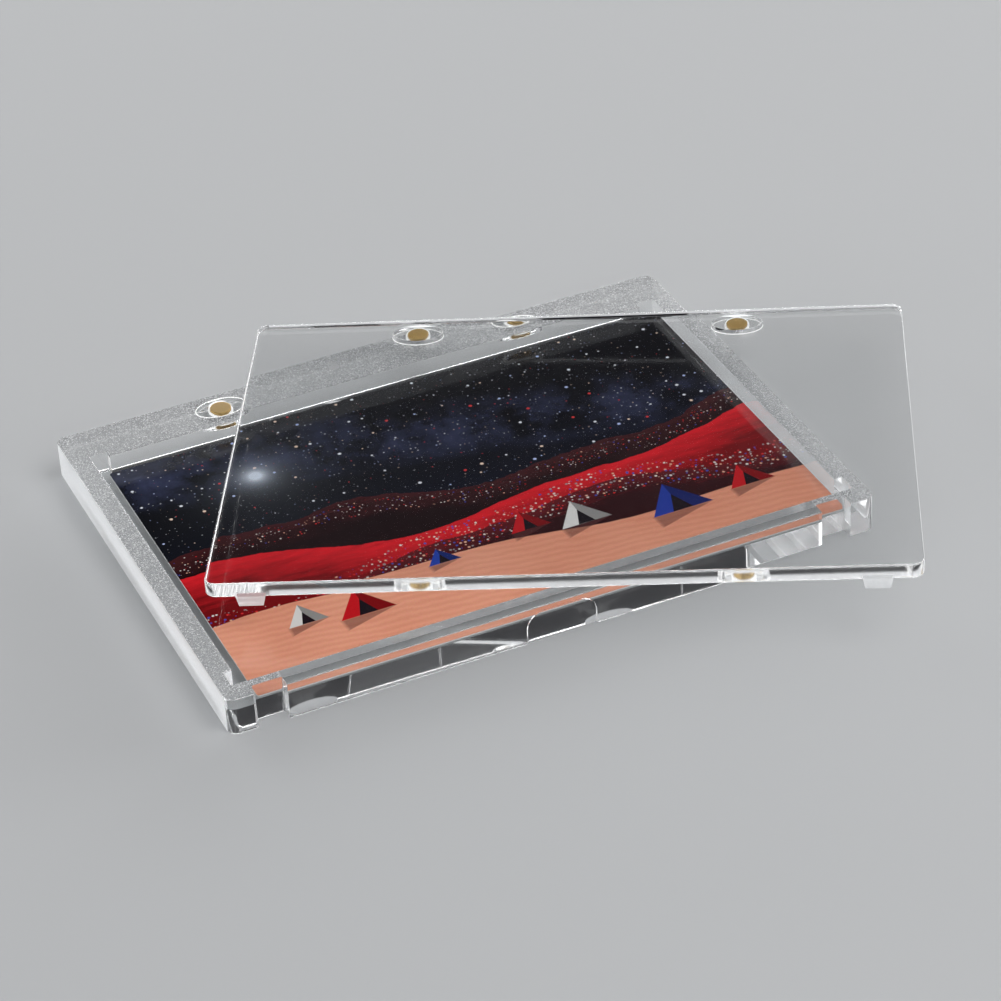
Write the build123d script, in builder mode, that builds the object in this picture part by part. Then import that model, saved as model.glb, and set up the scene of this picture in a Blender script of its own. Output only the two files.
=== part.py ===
from build123d import *

import os

os.makedirs("parts", exist_ok=True)

# A clear two-part magnetic display case that holds one printed card.
# Millimetres, +Z up. The origin is the middle of the tray's underside, +X runs
# to the right along the front edge and +Y to the rear, where the magnets are.

# Printed card
card_width = 152.4
card_length = 101.6
card_thickness = 0.4
card_corner = 0.6
card_side_room = 3.9
card_end_room = 1.05
card_wall_gap = 0.2
card_floor_gap = 0.05

# Tray walls, outline and edges
side_rim = 5.35
front_wall = 5.75
rear_rim = 14.0
floor_thickness = 4.45
recess_depth = 5.3
corner_radius = 2.8
edge_round = 0.35
inner_round = 0.25

# Corner reliefs of the recess, where a finger nail gets behind the card
rear_relief_width = 4.6
rear_relief_depth = 2.0
front_relief_length = 5.3
front_relief_depth = 2.0

# Notches in the front wall and the posts outside them
post_width = 6.9
notch_width = 7.8
notch_depth = 3.3
notch_corner = 0.5

# Thumb pocket and the two fine score lines on the front face
thumb_width = 18.0
thumb_height = 8.2
thumb_radius = 4.5
thumb_depth = 0.7
score_spacing = 62.4
score_width = 0.4
score_depth = 0.2
score_height = 6.6

# Lid plate, its tabs, and how it lies across the tray
lid_thickness = 3.75
tab_side_room = 0.4
tab_front_room = 0.8
tab_taper = 0.65
tab_hang = 2.7
tab_root = 1.2
tab_round = 0.3
lid_turn = -27.05
lid_tilt = -2.59
lid_shift_x = 26.8
lid_shift_y = -9.55
lid_rest_gap = 0.05

# Magnets and the oval clear plugs that hold them
magnet_diameter = 5.4
magnet_height = 2.5
magnet_edge_round = 0.2
magnet_glue_gap = 0.5
magnet_seat_gap = 0.05
magnet_side_inset = 42.3
magnet_rear_inset = 6.4
plug_length = 13.0
plug_width = 8.2
plug_height = 3.1
plug_fit = 0.08
plug_edge_round = 0.2

# Worked out from the sizes above
recess_width = card_width + card_side_room
recess_length = card_length + card_end_room
case_width = recess_width + 2 * side_rim
case_length = recess_length + front_wall + rear_rim
tray_height = floor_thickness + recess_depth
front_y = -case_length / 2
rear_y = case_length / 2
recess_front = front_y + front_wall
recess_rear = recess_front + recess_length
recess_middle = (recess_front + recess_rear) / 2
recess_side = recess_width / 2
rear_relief_x = recess_side - rear_relief_width / 2
front_relief_y = recess_front + front_relief_length / 2
edge_margin = 2 * edge_round
inside_x = case_width / 2 - edge_margin
notch_x = case_width / 2 - post_width - notch_width / 2
tab_top_width = notch_width - 2 * tab_side_room
tab_bottom_width = tab_top_width - 2 * tab_taper
tab_thickness = notch_depth - tab_front_room
magnet_x = case_width / 2 - magnet_side_inset
magnet_y = rear_y - magnet_rear_inset
socket_depth = plug_height + plug_fit
sides = {"left": -1, "right": 1}

# The lid's underside lies on the tray's rear top edge, and its front is raised
lid_slope = Plane(Location((0, 0, 0), (lid_tilt, 0, 0))).z_dir
lid_reach = lid_thickness + lid_rest_gap + lid_slope.Y * (rear_y - lid_shift_y)
lid_top_z = tray_height + lid_reach / lid_slope.Z
lid_top = Plane(Location((lid_shift_x, lid_shift_y, lid_top_z), (lid_tilt, 0, lid_turn)))
lid_under = lid_top.offset(-lid_thickness)
lid_up = Axis(lid_top.origin, lid_top.z_dir)
lid_front_middle = lid_under.from_local_coords((0, front_y, 0))
lid_front_face = Plane(lid_front_middle, x_dir=lid_top.x_dir, z_dir=-lid_top.y_dir)
tray_front_face = Plane((0, front_y, 0), x_dir=(1, 0, 0), z_dir=(0, -1, 0))
tray_top = Plane.XY.offset(tray_height)


# Tray: a thick plate with a stepped recess, two notches and two oval magnet sockets
with BuildPart() as base_tray:
    with BuildSketch(Plane.XY) as tray_outline:
        RectangleRounded(case_width, case_length, corner_radius)
    extrude(amount=tray_height)
    rim_edges = base_tray.edges().group_by(Axis.Z)
    fillet(rim_edges[0] + rim_edges[-1], edge_round)
    with BuildSketch(Plane.XY.offset(floor_thickness)) as recess_outline:
        with Locations((0, recess_middle)):
            Rectangle(recess_width, recess_length)
        with Locations((-rear_relief_x, recess_rear), (rear_relief_x, recess_rear)):
            Rectangle(rear_relief_width, 2 * rear_relief_depth)
        with Locations((-recess_side, front_relief_y), (recess_side, front_relief_y)):
            Rectangle(2 * front_relief_depth, front_relief_length)
    extrude(amount=recess_depth, mode=Mode.SUBTRACT)
    recess_rim = base_tray.edges().group_by(Axis.Z)[-1]
    recess_rim = recess_rim.filter_by_position(Axis.X, -inside_x, inside_x)
    recess_rim = recess_rim.filter_by_position(Axis.Y, front_y + edge_margin, rear_y - edge_margin)
    fillet(recess_rim, inner_round)
    with BuildSketch(Plane.XY) as notch_outline:
        with Locations((-notch_x, front_y), (notch_x, front_y)):
            Rectangle(notch_width, 2 * notch_depth)
        fillet(notch_outline.vertices().group_by(Axis.Y)[-1], notch_corner)
    extrude(amount=tray_height, mode=Mode.SUBTRACT)
    with BuildSketch(tray_front_face) as thumb_outline:
        RectangleRounded(thumb_width, 2 * thumb_height, thumb_radius)
    extrude(amount=-thumb_depth, mode=Mode.SUBTRACT)
    with BuildSketch(tray_front_face) as score_outline:
        with GridLocations(score_spacing, 0, 2, 1):
            Rectangle(score_width, 2 * score_height)
    extrude(amount=-score_depth, mode=Mode.SUBTRACT)
    with BuildSketch(tray_top) as socket_outline:
        with Locations((-magnet_x, magnet_y), (magnet_x, magnet_y)):
            Ellipse(plug_length / 2 + plug_fit, plug_width / 2 + plug_fit)
    extrude(amount=-socket_depth, mode=Mode.SUBTRACT)

base_tray.part.label = "base_tray"
export_step(base_tray.part, "parts/base_tray.step")


# Lid: a flat plate with a tapered tab under each front corner
with BuildPart() as lid_plate:
    with BuildSketch(lid_under) as lid_outline:
        RectangleRounded(case_width, case_length, corner_radius)
    extrude(amount=lid_thickness)
    plate_edges = lid_plate.edges().group_by(lid_up)
    fillet(plate_edges[0] + plate_edges[-1], edge_round)
    with BuildSketch(lid_under) as lid_socket_outline:
        with Locations((-magnet_x, magnet_y), (magnet_x, magnet_y)):
            Ellipse(plug_length / 2 + plug_fit, plug_width / 2 + plug_fit)
    extrude(amount=socket_depth, mode=Mode.SUBTRACT)
    with BuildSketch(lid_front_face) as tab_outline:
        with Locations((-notch_x, 0), (notch_x, 0)):
            Polygon(
                (-tab_top_width / 2, tab_root),
                (-tab_top_width / 2, 0),
                (-tab_bottom_width / 2, -tab_hang),
                (tab_bottom_width / 2, -tab_hang),
                (tab_top_width / 2, 0),
                (tab_top_width / 2, tab_root),
            )
    extrude(amount=-tab_thickness)
    tab_edges = lid_plate.edges().group_by(lid_up)[0]
    fillet(tab_edges, tab_round)

lid_plate.part.label = "lid_plate"
export_step(lid_plate.part, "parts/lid_plate.step")


def magnet(face_plane, x, into):
    """A short round magnet, with its outer face on the given plane."""
    with BuildPart() as disc:
        with BuildSketch(face_plane):
            with Locations((x, magnet_y)):
                Circle(magnet_diameter / 2)
        extrude(amount=into * magnet_height)
        fillet(disc.edges(), magnet_edge_round)
    return disc.part


def plug(face_plane, x, into):
    """A clear oval plug with a blind round seat, wider than the magnet by a ring of glue."""
    with BuildPart() as body:
        with BuildSketch(face_plane):
            with Locations((x, magnet_y)):
                Ellipse(plug_length / 2, plug_width / 2)
        extrude(amount=into * plug_height)
        fillet(body.edges(), plug_edge_round)
        with BuildSketch(face_plane):
            with Locations((x, magnet_y)):
                Circle(magnet_diameter / 2 + magnet_glue_gap)
        extrude(amount=into * (magnet_height + magnet_seat_gap), mode=Mode.SUBTRACT)
    return body.part


# Two magnets in the tray's rear rim face up, and two in the lid face down
for side_name, side in sides.items():
    for holder, face_plane, into in (("base", tray_top, -1), ("lid", lid_under, 1)):
        disc = magnet(face_plane, side * magnet_x, into)
        disc.label = f"{holder}_magnet_{side_name}"
        export_step(disc, f"parts/{disc.label}.step")
        holder_plug = plug(face_plane, side * magnet_x, into)
        holder_plug.label = f"{holder}_magnet_plug_{side_name}"
        export_step(holder_plug, f"parts/{holder_plug.label}.step")


# Printed card, lying on the recess floor and pushed over to the right wall
card_x = recess_side - card_wall_gap - card_width / 2
with BuildPart() as picture_card:
    with BuildSketch(Plane.XY.offset(floor_thickness + card_floor_gap)) as card_outline:
        with Locations((card_x, recess_middle)):
            RectangleRounded(card_width, card_length, card_corner)
    extrude(amount=card_thickness)

picture_card.part.label = "picture_card"
export_step(picture_card.part, "parts/picture_card.step")
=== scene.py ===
import math

import bpy
from mathutils import Euler, Matrix, Vector


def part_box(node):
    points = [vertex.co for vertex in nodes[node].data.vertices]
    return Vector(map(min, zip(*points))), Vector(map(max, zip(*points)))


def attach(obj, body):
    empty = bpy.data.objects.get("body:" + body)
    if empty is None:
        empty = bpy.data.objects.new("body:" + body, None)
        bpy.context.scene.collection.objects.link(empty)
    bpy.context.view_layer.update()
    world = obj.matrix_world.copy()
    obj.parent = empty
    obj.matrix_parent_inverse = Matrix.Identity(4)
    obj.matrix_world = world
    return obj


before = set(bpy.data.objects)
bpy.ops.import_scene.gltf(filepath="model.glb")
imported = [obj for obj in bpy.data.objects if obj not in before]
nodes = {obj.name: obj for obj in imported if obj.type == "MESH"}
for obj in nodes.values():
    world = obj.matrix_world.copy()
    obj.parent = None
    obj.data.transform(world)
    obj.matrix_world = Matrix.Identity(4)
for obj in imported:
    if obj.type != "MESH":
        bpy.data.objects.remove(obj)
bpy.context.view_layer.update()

scene = bpy.context.scene
trayLow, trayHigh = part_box("base_tray")
cardLow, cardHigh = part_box("picture_card")
mm = 0.001
print("frame loaded:", len(nodes), "nodes")


class Wire:  # one output socket, so that shader maths reads as plain sums
    def __init__(self, paint, socket):
        self.paint = paint
        self.socket = socket

    def does(self, operation, *others):
        terms = dict(enumerate((self,) + others))
        return self.paint.add("Math", {"operation": operation}, terms)

    def after(self, operation, other):
        return self.paint.add("Math", {"operation": operation}, {0: other, 1: self})

    def __add__(self, other):
        return self.does("ADD", other)

    def __radd__(self, other):
        return self.after("ADD", other)

    def __sub__(self, other):
        return self.does("SUBTRACT", other)

    def __rsub__(self, other):
        return self.after("SUBTRACT", other)

    def __mul__(self, other):
        return self.does("MULTIPLY", other)

    def __rmul__(self, other):
        return self.after("MULTIPLY", other)

    def __truediv__(self, other):
        return self.does("DIVIDE", other)

    def __rtruediv__(self, other):
        return self.after("DIVIDE", other)

    def __pow__(self, other):
        return self.does("POWER", other)

    def __gt__(self, other):
        return self.does("GREATER_THAN", other)

    def __lt__(self, other):
        return self.does("LESS_THAN", other)

    def __abs__(self):
        return self.does("ABSOLUTE")

    def sine(self):
        return self.does("SINE")

    def clip(self):
        return self.paint.add("Clamp", {}, {"Value": self})

    def twin(self, name):  # another output of the same node
        return Wire(self.paint, self.socket.node.outputs[name])


class Paint:  # the nodes of one material, or of the world
    def __init__(self, owner):
        owner.use_nodes = True
        self.owner = owner
        self.tree = owner.node_tree
        self.tree.nodes.clear()

    def add(self, kind, settings=None, inputs=None, out=0):
        node = self.tree.nodes.new("ShaderNode" + kind)
        for key, value in (settings or {}).items():
            if key == "stops":
                ramp = node.color_ramp
                while len(ramp.elements) < len(value):
                    ramp.elements.new(0.5)
                for stop, (place, colour) in zip(ramp.elements, value):
                    stop.position = place
                    stop.color = (*colour, 1)
            elif key == "steps":
                node.color_ramp.interpolation = "CONSTANT" if value else "LINEAR"
            else:
                setattr(node, key, value)
        for key, value in (inputs or {}).items():
            if isinstance(value, Wire):
                self.tree.links.new(value.socket, node.inputs[key])
            else:
                if isinstance(value, tuple) and len(value) == 3 and node.inputs[key].type == "RGBA":
                    value = (*value, 1)
                node.inputs[key].default_value = value
        return Wire(self, node.outputs[out])

    def mix(self, factor, first, second, blend="MIX"):
        settings = {"data_type": "RGBA", "blend_type": blend}
        return self.add("Mix", settings, {0: factor, 6: first, 7: second}, out=2)

    def blend(self, factor, first, second):  # two shaders
        return self.add("MixShader", inputs={0: factor, 1: first, 2: second})

    def axes(self, vector):
        parts = self.add("SeparateXYZ", inputs={0: vector})
        return parts, parts.twin("Y"), parts.twin("Z")

    def along(self, vector, way):  # how far a place lies along a direction
        return self.add("VectorMath", {"operation": "DOT_PRODUCT"}, {0: vector, 1: way}, out="Value")

    def past(self, vector, middle):  # a place as seen from a middle
        return self.add("VectorMath", {"operation": "SUBTRACT"}, {0: vector, 1: middle})

    def noise(self, vector, size, detail=2.0, rough=0.5, out="Fac"):  # size of one blot, in mm
        values = {"Vector": vector, "Scale": 1000.0 / size, "Detail": detail, "Roughness": rough}
        return self.add("TexNoise", inputs=values, out=out)

    def cells(self, vector, size):  # scattered points, one to each cell of this size in mm
        values = {"Vector": vector, "Scale": 1000.0 / size}
        return self.add("TexVoronoi", {"voronoi_dimensions": "2D"}, values)

    def ramp(self, factor, stops, steps=False):
        return self.add("ValToRGB", {"stops": stops, "steps": steps}, {0: factor})

    def bump(self, height, strength, depth):
        return self.add("Bump", inputs={"Height": height, "Strength": strength, "Distance": depth * mm})

    def finish(self, shader, kind="Material"):
        output = self.tree.nodes.new("ShaderNodeOutput" + kind)
        self.tree.links.new(shader.socket, output.inputs["Surface"])
        return self.owner


def newPaint(name):
    return Paint(bpy.data.materials.new(name))


# Clear plastic

plastic = {
    "tint": (0.985, 0.990, 0.992),
    "ior": 1.49,
    "polish": 0.012,
    "smear": 0.012,
    "smearSize": 18.0,  # mm
    "lightPass": 0.96,
}
lidSetup = {"tilt": -2.59, "turn": -27.05, "middle": (26.8, -9.55, 16.754)}  # degrees; mm, on its upper face
lidSteps = [math.radians(a) for a in (lidSetup["tilt"], 0, lidSetup["turn"])]
lidLie = Euler(lidSteps, "ZYX").to_matrix()
lidRim = {
    "half": 83.5,  # mm, as are the next six
    "rear": 61.2,
    "corner": 2.8,
    "thick": 3.75,
    "satinTall": 1.9,
    "tabGap": 0.03,
    "grain": 2.0,
    "left": 0.25,  # how satin the left face is, next to the others
    "leftRough": 0.25,
    "tabCover": 0.5,
}
satin = {
    "white": (0.88, 0.89, 0.90),
    "rough": 0.45,
    "through": 0.5,
    "cover": 0.85,
    "right": 0.35,  # how satin the tray's right face is, next to the left one
    "uneven": 0.3,
    "skin": 0.12,  # mm
}
seat = {"radius": 3.21, "half": 1.4}  # mm, from the middle of a magnet
rim = {
    "white": (0.88, 0.89, 0.90),
    "veil": (0.28, 0.285, 0.295),
    "haze": 0.40,
    "sparkle": 0.80,
    "grain": 0.30,  # mm
    "speckFrom": 0.50,
    "speckGain": 7.0,
    "patch": 7.0,  # mm
    "rough": 0.24,
    "uneven": 0.12,
    "chalkRough": 0.45,
    "bump": 0.5,
    "bumpTall": 0.03,  # mm
    "depth": 0.03,  # mm that lie inside the frosted skin
    "frontWall": 5.75,  # mm
    "lipHalf": 68.8,  # mm, half the polished part of the front wall
}


def clearShader(paint, rough, normal=None):  # light falls straight through it onto what lies below
    values = {
        "Base Color": plastic["tint"],
        "Roughness": rough,
        "IOR": plastic["ior"],
        "Transmission Weight": 1.0,
    }
    if normal:
        values["Normal"] = normal
    body = paint.add("BsdfPrincipled", inputs=values)
    clear = paint.add("BsdfTransparent", inputs={"Color": plastic["tint"]})
    ray = paint.add("LightPath", out="Is Shadow Ray")
    through = (ray + ray.twin("Is Diffuse Ray")).clip() * plastic["lightPass"]
    return paint.blend(through, body, clear)


def satinShader(paint):  # a matt skin on the plastic, lit from both its sides
    front = paint.add("BsdfPrincipled", inputs={"Base Color": satin["white"], "Roughness": satin["rough"]})
    back = paint.add("BsdfTranslucent", inputs={"Color": satin["white"]})
    return paint.blend(satin["through"], front, back)


def polishOf(paint, place):
    return plastic["polish"] + paint.noise(place, plastic["smearSize"], 3, 0.5) * plastic["smear"]


def frostedTray():
    paint = newPaint("clear_plastic_frosted_rim")
    place = paint.add("TexCoord", out="Object")
    x, y, z = paint.axes(place)
    onTop = z > trayHigh.z - rim["depth"] * mm
    onLip = (y < trayLow.y + rim["frontWall"] * mm) * (abs(x) < rim["lipHalf"] * mm)
    frosted = onTop * (1 - onLip)
    grain = paint.noise(place, rim["grain"], 3, 0.65)
    speck = ((grain - rim["speckFrom"]) * rim["speckGain"]).clip()
    patch = paint.noise(place, rim["patch"], 3, 0.6)
    rough = plastic["polish"] + frosted * (rim["rough"] + (patch - 0.5) * rim["uneven"])
    normal = paint.bump(frosted * grain, rim["bump"], rim["bumpTall"])
    clear = clearShader(paint, rough, normal)
    chalk = paint.add("BsdfPrincipled", inputs={
        "Base Color": paint.mix(speck, rim["veil"], rim["white"]),
        "Roughness": rim["chalkRough"],
        "Normal": normal,
    })
    cover = frosted * (rim["haze"] + speck * rim["sparkle"] * (patch * 0.5 + 0.5))
    body = paint.blend(cover, clear, chalk)
    onSide = (abs(x) > trayHigh.x - satin["skin"] * mm) * (satin["cover"] + (grain - 0.5) * satin["uneven"])
    onSide = onSide * (1 - (x > 0) * (1 - satin["right"]))
    return paint.finish(paint.blend(onSide, body, satinShader(paint)))


def lidPlastic():  # polished, with satin tabs and a satin band along the top of its side and rear faces
    paint = newPaint("clear_plastic_satin_edge")
    place = paint.add("TexCoord", out="Object")
    grain = paint.noise(place, lidRim["grain"], 3, 0.6)
    seen = paint.past(place, [v * mm for v in lidSetup["middle"]])
    across = paint.along(seen, lidLie.col[0]) / mm
    side = abs(across) - (lidRim["half"] - lidRim["corner"])
    rear = paint.along(seen, lidLie.col[1]) / mm - (lidRim["rear"] - lidRim["corner"])
    out = side.does("MAXIMUM", 0.0) ** 2 + rear.does("MAXIMUM", 0.0) ** 2
    height = paint.along(seen, lidLie.col[2]) / mm
    onEdge = out > (lidRim["corner"] - satin["skin"]) ** 2
    onLeft = onEdge * (across < lidRim["corner"] - lidRim["half"])
    onSide = onEdge * (height > -lidRim["satinTall"]) * (1 - onLeft * (1 - lidRim["left"]))
    onTab = height < -(lidRim["thick"] + lidRim["tabGap"])
    cover = (onSide * satin["cover"]).does("MAXIMUM", onTab * lidRim["tabCover"])
    cover = cover * (1 + (grain - 0.5) * satin["uneven"])
    clear = clearShader(paint, polishOf(paint, place) + onLeft * lidRim["leftRough"])
    return paint.finish(paint.blend(cover, clear, satinShader(paint)))


def clearPlug(name, middle, up):  # clear glue fills its seat, so the faces there don't bend the light
    paint = newPaint(name)
    place = paint.add("TexCoord", out="Object")
    clear = clearShader(paint, polishOf(paint, place))
    seen = paint.past(place, middle)
    height = paint.along(seen, up)
    away = paint.along(seen, seen) - height * height
    inSeat = (abs(height) < seat["half"] * mm) * (away < (seat["radius"] * mm) ** 2)
    through = paint.add("BsdfTransparent", inputs={"Color": plastic["tint"]})
    return paint.finish(paint.blend(inSeat, clear, through))


# Gold plated magnets and the glue around them

gold = {
    "base": (0.52, 0.365, 0.15),
    "deep": (0.43, 0.28, 0.10),
    "cloud": 1.4,  # mm
    "metal": 0.95,
    "rough": 0.46,
    "uneven": 0.2,
    "grain": 0.2,  # mm
    "bump": 0.25,
    "bumpTall": 0.05,  # mm
}


def goldPlate():
    paint = newPaint("gold_plate")
    place = paint.add("TexCoord", out="Object")
    cloud = paint.noise(place, gold["cloud"], 3, 0.6)
    grain = paint.noise(place, gold["grain"], 2, 0.5)
    shader = paint.add("BsdfPrincipled", inputs={
        "Base Color": paint.mix(cloud, gold["deep"], gold["base"]),
        "Metallic": gold["metal"],
        "Roughness": gold["rough"] + (cloud - 0.5) * gold["uneven"],
        "Normal": paint.bump(grain, gold["bump"], gold["bumpTall"]),
    })
    return paint.finish(shader)


# White glue, in mm from the middle of a magnet's upper end: a slanting ring in the gap between the magnet and
# its plug, which rose at the rear, and a seam round the oval plug
glue = {
    "white": (0.95, 0.95, 0.94),
    "shade": 0.9,
    "rough": 0.28,
    "uneven": 0.2,
    "lumps": 0.9,
    "bump": 0.3,
    "bumpTall": 0.1,
    "glow": 0.6,  # painted glow: the glue gives off light of its own white, so it stays bright where the lid and plugs shade it
    "ring": {"inner": 2.71, "wall": 0.46, "top": -0.02, "height": 2.42, "slant": 20.0},
    "seam": {"inner": 6.42, "wall": 0.26, "height": 0.30, "wide": 4.03 / 6.42},
    "skin": 0.01,
    "round": 0.04,
    "roundSteps": 2,
    "sides": 72,
    "smooth": 40,  # degrees
    "magnetTall": 2.5,
}


def whiteGlueWithPaintedGlow():
    paint = newPaint("white_glue_painted_glow")
    place = paint.add("TexCoord", out="Object")
    lumps = paint.noise(place, glue["lumps"], 3, 0.6)
    white = paint.mix(lumps, tuple(glue["shade"] * c for c in glue["white"]), glue["white"])
    shader = paint.add("BsdfPrincipled", inputs={
        "Base Color": white,
        "Roughness": glue["rough"] + lumps * glue["uneven"],
        "Normal": paint.bump(lumps, glue["bump"], glue["bumpTall"]),
        # Painted glow: the glue emits its own white as light, a painted light, though it is no lamp
        "Emission Color": white,
        "Emission Strength": glue["glow"],
    })
    return paint.finish(shader)


def applyAll(piece):
    bpy.ops.object.transform_apply(location=True, rotation=True, scale=True)
    for change in list(piece.modifiers):
        bpy.ops.object.modifier_apply(modifier=change.name)
    bpy.ops.object.shade_smooth_by_angle(angle=math.radians(glue["smooth"]))


def addWall(piece, wall):
    thick = piece.modifiers.new("wall", "SOLIDIFY")
    thick.thickness = wall * mm
    thick.offset = 1.0
    soft = piece.modifiers.new("edge", "BEVEL")
    soft.width = glue["round"] * mm
    soft.segments = glue["roundSteps"]


def ring(name, inner, wall, top, height, wide=1.0, slant=0.0):  # a band, round or oval, lower at the front
    lean = math.radians(slant)
    bpy.ops.object.select_all(action="DESELECT")
    bpy.ops.mesh.primitive_circle_add(vertices=glue["sides"], radius=inner * mm, location=(0, 0, 0))
    piece = bpy.context.object
    piece.name = name
    bpy.ops.object.mode_set(mode="EDIT")
    bpy.ops.mesh.select_all(action="SELECT")
    bpy.ops.transform.resize(value=(1, wide / math.cos(lean), 1))
    bpy.ops.transform.rotate(value=-lean, orient_axis="X", center_override=(0, 0, 0))
    bpy.ops.transform.translate(value=(0, 0, (top - inner * math.tan(lean)) * mm))
    bpy.ops.mesh.extrude_edges_move(TRANSFORM_OT_translate={"value": (0, 0, -height * mm)})
    bpy.ops.transform.resize(value=(1, 1, 0), center_override=(0, 0, (top - height) * mm))
    bpy.ops.mesh.select_all(action="SELECT")
    bpy.ops.mesh.normals_make_consistent(inside=False)
    bpy.ops.object.mode_set(mode="OBJECT")
    addWall(piece, wall)
    applyAll(piece)
    return piece


def plugSpots():  # holder, side, body, how it lies, and the middle of its magnet
    for holder, body, lie in (("base", "tray", Matrix.Identity(3)), ("lid", "lid", lidLie)):
        for side in ("left", "right"):
            low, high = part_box(f"{holder}_magnet_{side}")
            yield holder, side, body, lie, (low + high) / 2


def placeGlue(white):
    for holder, side, body, lie, middle in plugSpots():
        seamTop = -glue["skin"]
        if holder == "lid":  # the open face of its plugs is the lower one
            seamTop = glue["seam"]["height"] + glue["skin"] - glue["magnetTall"]
        upperEnd = middle + lie @ Vector((0, 0, glue["magnetTall"] / 2 * mm))
        made = [
            ring(f"{holder}_glue_ring_{side}", **glue["ring"]),
            ring(f"{holder}_plug_seam_{side}", top=seamTop, **glue["seam"]),
        ]
        for piece in made:
            piece.data.transform(Matrix.Translation(upperEnd) @ lie.to_4x4())
            piece.data.materials.append(white)
            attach(piece, body)


# Printed card: tents on rippled sand, red hills and a starry sky, in mm from its front left corner

sky = {
    "black": (0.002, 0.002, 0.004),
    "haze": (0.005, 0.008, 0.026),
    "hazeTop": 80.0,
    "hazeDeep": 45.0,
    "cloud": 16.0,
    "dust": (0.10, 0.12, 0.26),
    "dustMiddle": (76.0, 78.0),
    "dustSlope": 0.22,
    "dustHalf": 15.0,
    "dustFrom": 0.42,
    "dustGain": 3.0,
    "dustCover": 0.5,
    "fewStars": 0.3,  # how bright the stars are outside the dust
    "glow": (0.80, 0.88, 1.0),
    "moon": (31.0, 80.0),
    "moonSize": 3.0,
    "moonGlow": 5.0,
}
# Dots: one to each cell, reach: its largest radius in cells, share: how many cells show theirs
smallStars = {"cell": 1.5, "reach": 0.14, "share": 0.35}
largeStars = {"cell": 4.2, "reach": 0.11, "share": 0.4}
campLamps = {"cell": 1.1, "reach": 0.34, "share": 0.75, "below": 0.5, "half": 7.0, "from": 0.25}
farLamps = {"cell": 0.9, "reach": 0.24, "share": 0.5, "below": 4.0, "half": 4.0, "from": 0.3}
starTints = [
    (0.0, (0.9, 0.93, 1.0)),
    (0.45, (0.55, 0.65, 1.0)),
    (0.7, (1.0, 0.75, 0.6)),
    (0.88, (0.8, 0.05, 0.05)),
]
lampTints = [
    (0.0, (0.9, 0.85, 0.8)),
    (0.3, (0.75, 0.03, 0.03)),
    (0.55, (0.05, 0.10, 0.55)),
    (0.7, (0.9, 0.5, 0.35)),
    (0.85, (0.35, 0.33, 0.35)),
]
hills = [  # waves: height, length / 2 pi and start, rag: how ragged the crest is, deep: where it is darkest
    {"base": 55.0, "waves": ((4.5, 22.0, 0.4), (1.8, 8.0, 1.1)), "rag": 7.0,
     "low": (0.012, 0.003, 0.004), "crest": (0.06, 0.012, 0.014), "deep": 9.0},
    {"base": 45.0, "waves": ((6.0, 29.0, 2.2), (2.0, 11.7, 0.2)), "rag": 4.0,
     "low": (0.20, 0.004, 0.006), "crest": (0.82, 0.016, 0.026), "deep": 14.0},
    {"base": 31.0, "waves": ((4.5, 25.0, 4.0), (1.4, 9.0, 2.0)), "rag": 3.0,
     "low": (0.03, 0.004, 0.006), "crest": (0.13, 0.010, 0.014), "deep": 8.0},
]
strataSetup = {"size": 9.0, "squeeze": (1.0, 5.0, 1.0), "depth": 1.4}
ragSize = 13.0
sand = {
    "base": 24.0,
    "waves": ((4.4, 36.0, 1.0), (1.0, 10.0, 0.6)),
    "rag": 0.8,
    "light": (0.93, 0.41, 0.27),
    "shade": (0.76, 0.27, 0.16),
    "ripple": 2.301,
    "rippleSway": 16.0,
    "rippleSlant": 0.35,
    "rippleDepth": 0.35,
    "slopeSize": 30.0,
    "slopeFrom": 0.35,
    "slopeDepth": 1.3,
}
tents = [
    {"at": (21.0, 19.5), "half": 5.0, "tall": 8.0, "cloth": (0.80, 0.78, 0.75)},
    {"at": (35.0, 16.5), "half": 7.0, "tall": 10.5, "cloth": (0.60, 0.008, 0.014)},
    {"at": (58.0, 24.0), "half": 4.2, "tall": 6.0, "cloth": (0.02, 0.06, 0.42)},
    {"at": (82.0, 27.0), "half": 5.2, "tall": 8.0, "cloth": (0.58, 0.010, 0.016)},
    {"at": (95.0, 23.0), "half": 6.6, "tall": 10.0, "cloth": (0.82, 0.80, 0.78)},
    {"at": (118.0, 17.0), "half": 8.0, "tall": 12.0, "cloth": (0.02, 0.05, 0.36)},
    {"at": (138.0, 19.0), "half": 6.0, "tall": 9.0, "cloth": (0.62, 0.012, 0.018)},
]
tentLook = {
    "doorTall": 0.6,
    "doorNarrow": 3.0,
    "inside": (0.01, 0.006, 0.01),
    "shade": 0.38,
    "castSlant": 1.6,
    "castReach": 0.4,
    "castSharp": 1.5,
    "castCover": 0.6,
    "cast": (0.10, 0.03, 0.03),
}
printCoat = {
    "paper": (0.80, 0.80, 0.78),
    "rough": 0.10,
    "uneven": 0.06,
    "shine": 0.30,
    "coat": 0.15,
    "coatRough": 0.04,
    "grain": 0.5,
    "grainCover": 0.18,
    "skin": 0.03,
}


def softly(height, sharp=5.0):  # 1 where a height in mm is over 0, across a soft edge of 1/sharp mm
    return (height * sharp + 0.5).clip()


def dots(paint, place, kind, tints, colour, where=None):
    cell = paint.cells(place, kind["cell"])
    pick, second, third = paint.axes(cell.twin("Color"))
    mask = softly((pick * kind["reach"] - cell) * kind["cell"]) * (second > 1 - kind["share"])
    if where:
        mask = mask * where
    return paint.mix(mask, colour, paint.ramp(third, tints, steps=True))


def lampsBelow(paint, place, crest, v, kind, colour, cover=1.0):  # a band of small lights under a crest
    band = (1 - abs(crest - kind["below"] - v) / kind["half"]).clip() * cover
    return dots(paint, place, kind, lampTints, colour, band > kind["from"])


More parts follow.
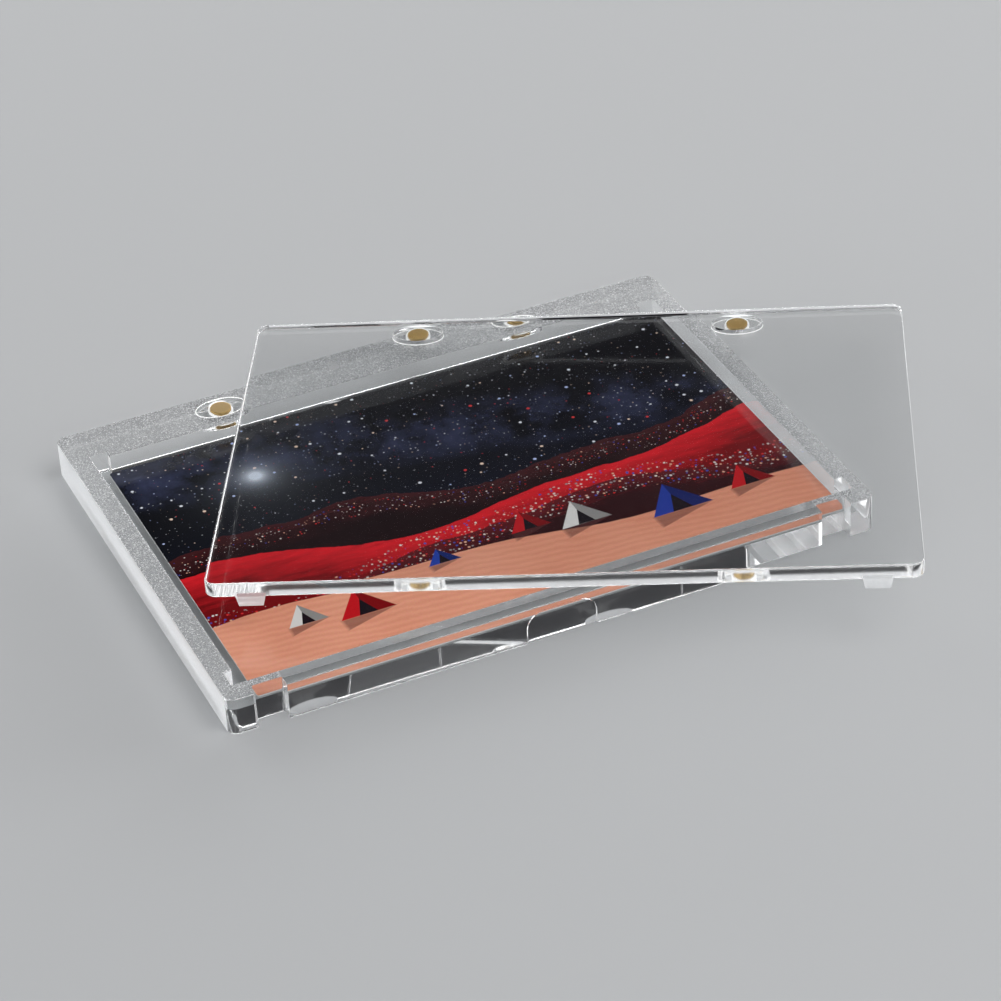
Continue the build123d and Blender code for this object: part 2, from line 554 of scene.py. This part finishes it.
def crestLine(u, rag, shape):
    height = rag * shape["rag"] + shape["base"]
    for size, length, start in shape["waves"]:
        height = height + (u * (1 / length) + start).sine() * size
    return height


def tentOn(paint, u, v, tent, colour):
    middle, foot = tent["at"]
    above = v - foot
    out = u - middle
    side = abs(out) / tent["half"]
    body = softly((tent["tall"] * (1 - side) - above).does("MINIMUM", above))
    doorTall = tent["tall"] * tentLook["doorTall"]
    door = softly((doorTall * (1 - side * tentLook["doorNarrow"]) - above).does("MINIMUM", above))
    under = foot - v
    cast = abs(out + under * tentLook["castSlant"]) / tent["half"]
    castTall = tent["tall"] * tentLook["castReach"]
    shadow = softly((castTall * (1 - cast) - under).does("MINIMUM", under), tentLook["castSharp"])
    colour = paint.mix(shadow * tentLook["castCover"], colour, tentLook["cast"])
    cloth = paint.mix(softly(out), tent["cloth"], tuple(tentLook["shade"] * c for c in tent["cloth"]))
    cloth = paint.mix(door, cloth, tentLook["inside"])
    return paint.mix(body, colour, cloth)


def skyColour(paint, place, u, v, cloud):
    low = ((sky["hazeTop"] - v) / sky["hazeDeep"]).clip() ** 2
    colour = paint.mix(low, sky["black"], sky["haze"])
    dustX, dustY = sky["dustMiddle"]
    lane = (v - dustY + (u - dustX) * sky["dustSlope"]) / sky["dustHalf"]
    dust = (1 - lane * lane).clip() * ((cloud - sky["dustFrom"]) * sky["dustGain"]).clip()
    colour = paint.mix(dust * sky["dustCover"], colour, sky["dust"])
    colour = dots(paint, place, smallStars, starTints, colour, dust + sky["fewStars"])
    colour = dots(paint, place, largeStars, starTints, colour)
    moonX, moonY = sky["moon"]
    away = (u - moonX) ** 2 + (v - moonY) ** 2
    return paint.mix((sky["moonGlow"] / (away + sky["moonSize"])).clip(), colour, sky["glow"])


def hillsOn(paint, place, u, v, rag, colour):
    squeezed = paint.add("VectorMath", {"operation": "MULTIPLY"}, {0: place, 1: strataSetup["squeeze"]})
    strata = paint.noise(squeezed, strataSetup["size"], 4, 0.6)
    for hill in hills:
        depth = crestLine(u, rag, hill) - v
        tone = (depth / hill["deep"] + (strata - 0.5) * strataSetup["depth"]).clip()
        colour = paint.mix(softly(depth), colour, paint.mix(tone, hill["crest"], hill["low"]))
    overSand = softly(v - sand["base"])
    colour = lampsBelow(paint, place, crestLine(u, rag, hills[2]), v, campLamps, colour, overSand)
    return lampsBelow(paint, place, crestLine(u, rag, hills[0]), v, farLamps, colour)


def sandOn(paint, place, u, v, rag, cloud, colour):
    slope = (paint.noise(place, sand["slopeSize"], 2, 0.5) - sand["slopeFrom"]) * sand["slopeDepth"]
    turns = v * (math.tau / sand["ripple"]) + cloud * sand["rippleSway"] + u * sand["rippleSlant"]
    wave = turns.sine() * 0.5 + 0.5
    ground = paint.mix((wave * sand["rippleDepth"] + slope).clip(), sand["light"], sand["shade"])
    return paint.mix(softly(crestLine(u, rag, sand) - v), colour, ground)


def printedCard():
    paint = newPaint("printed_card")
    place = paint.add("TexCoord", out="Object")
    x, y, z = paint.axes(place)
    u = (x - cardLow.x) / mm
    v = (y - cardLow.y) / mm
    rag = paint.noise(place, ragSize, 5, 0.6) - 0.5
    cloud = paint.noise(place, sky["cloud"], 5, 0.65)
    colour = skyColour(paint, place, u, v, cloud)
    colour = hillsOn(paint, place, u, v, rag, colour)
    colour = sandOn(paint, place, u, v, rag, cloud, colour)
    for tent in tents:
        colour = tentOn(paint, u, v, tent, colour)

    inkGrain = paint.noise(place, printCoat["grain"], 2, 0.6, out="Color")
    colour = paint.mix(printCoat["grainCover"], colour, inkGrain, "OVERLAY")
    onTop = z > cardHigh.z - printCoat["skin"] * mm
    colour = paint.mix(onTop, printCoat["paper"], colour)
    shader = paint.add("BsdfPrincipled", inputs={
        "Base Color": colour,
        "Roughness": printCoat["rough"] + cloud * printCoat["uneven"],
        "Specular IOR Level": printCoat["shine"],
        "Coat Weight": printCoat["coat"],
        "Coat Roughness": printCoat["coatRough"],
    })
    return paint.finish(shader)


# Floor

floorSetup = {
    "size": 12.0,  # metres
    "gap": 0.1,  # mm
    "colour": (0.59, 0.60, 0.61),
    "shade": 0.97,
    "cloud": 330.0,  # mm
    "rough": 0.65,
    "shine": 0.12,
}


def paleFloor():
    bpy.ops.object.select_all(action="DESELECT")
    bpy.ops.mesh.primitive_plane_add(size=floorSetup["size"], location=(0, 0, -floorSetup["gap"] * mm))
    floor = bpy.context.object
    floor.name = "paleFloor"
    paint = newPaint("pale_floor")
    cloud = paint.noise(paint.add("TexCoord", out="Object"), floorSetup["cloud"], 3, 0.5)
    shaded = tuple(floorSetup["shade"] * c for c in floorSetup["colour"])
    shader = paint.add("BsdfPrincipled", inputs={
        "Base Color": paint.mix(cloud, floorSetup["colour"], shaded),
        "Roughness": floorSetup["rough"],
        "Specular IOR Level": floorSetup["shine"],
    })
    floor.data.materials.append(paint.finish(shader))


# Camera and light

cameraSetup = {
    "place": (-0.2709, -0.68144, 0.50221),  # metres
    "turn": (55.5475, 2.7328, -24.378),  # degrees
    "lens": 129.25,  # mm, as is the next one
    "sensor": 36.0,
    "near": 0.01,  # metres
}
lamps = [  # turn: degrees from +Y towards +X, rise: degrees above the floor, glow: brightness of its face
    {"name": "topBox", "turn": 140, "rise": 60, "far": 1.35, "size": (0.90, 0.90), "glow": 3.1},
    {"name": "rearLeftBox", "turn": -34, "rise": 30, "far": 1.2, "size": (1.00, 0.60), "glow": 1.8},
    {"name": "frontRightBox", "turn": 162, "rise": 34, "far": 1.2, "size": (1.10, 0.64), "glow": 0.9},
    {"name": "rearStrip", "turn": 28, "rise": 9, "far": 2.2, "size": (2.20, 0.32), "glow": 14.0},
    {"name": "leftStrip", "turn": -88, "rise": 7, "far": 2.0, "size": (1.60, 0.34), "glow": 13.0},
    {"name": "rightStrip", "turn": 92, "rise": 7, "far": 2.0, "size": (1.40, 0.34), "glow": 14.0},
]
studio = {
    "pale": (0.86, 0.87, 0.89),
    "dim": (0.03, 0.03, 0.033),
    "top": (0.16, 0.165, 0.17),
    "paleTo": 0.13,  # height on a ball of radius 1, as are the next three
    "dimFrom": 0.30,
    "dimTo": 0.78,
    "topFrom": 0.93,
}


def setCamera():
    data = bpy.data.cameras.new("caseCamera")
    data.sensor_width = cameraSetup["sensor"]
    data.lens = cameraSetup["lens"]
    data.clip_start = cameraSetup["near"]
    camera = bpy.data.objects.new("caseCamera", data)
    camera.location = cameraSetup["place"]
    camera.rotation_euler = [math.radians(a) for a in cameraSetup["turn"]]
    scene.collection.objects.link(camera)
    scene.camera = camera


def setLamps():
    for lamp in lamps:
        turn = math.radians(lamp["turn"])
        rise = math.radians(lamp["rise"])
        way = Vector((math.sin(turn) * math.cos(rise), math.cos(turn) * math.cos(rise), math.sin(rise)))
        data = bpy.data.lights.new(lamp["name"], "AREA")
        data.shape = "RECTANGLE"
        data.size, data.size_y = lamp["size"]
        data.energy = lamp["glow"] * math.pi * data.size * data.size_y
        light = bpy.data.objects.new(lamp["name"], data)
        light.location = way * lamp["far"]
        light.rotation_euler = (-way).to_track_quat("-Z", "Y").to_euler()
        light.visible_camera = False
        scene.collection.objects.link(light)


def setWorld():
    scene.world = bpy.data.worlds.new("softStudio")
    paint = Paint(scene.world)
    x, y, z = paint.axes(paint.add("TexCoord", out="Generated"))
    colour = paint.ramp(z, [
        (studio["paleTo"], studio["pale"]),
        (studio["dimFrom"], studio["dim"]),
        (studio["dimTo"], studio["dim"]),
        (studio["topFrom"], studio["top"]),
    ])
    paint.finish(paint.add("Background", inputs={"Color": colour, "Strength": 1.0}), "World")


setCamera()
setLamps()
setWorld()
paleFloor()
print("camera, light and floor set")

finishes = {
    "base_tray": frostedTray(),
    "lid_plate": lidPlastic(),
    "picture_card": printedCard(),
}
for holder, side, body, lie, middle in plugSpots():
    finishes[f"{holder}_magnet_plug_{side}"] = clearPlug(f"clear_plug_{holder}_{side}", middle, lie.col[2])
goldFinish = goldPlate()
for name, node in nodes.items():
    node.material_slots[0].material = finishes.get(name, goldFinish)
print("finishes on", len(nodes), "nodes")

placeGlue(whiteGlueWithPaintedGlow())
print("glue round the magnets and plugs")

bounces = {"clear": 64, "straight": 24}  # light is mirrored many times inside the clear plates
scene.view_settings.view_transform = "Standard"
scene.cycles.caustics_refractive = False
scene.cycles.caustics_reflective = False
scene.cycles.max_bounces = bounces["clear"]
scene.cycles.transmission_bounces = bounces["clear"]
scene.cycles.glossy_bounces = bounces["clear"]
scene.cycles.transparent_max_bounces = bounces["straight"]
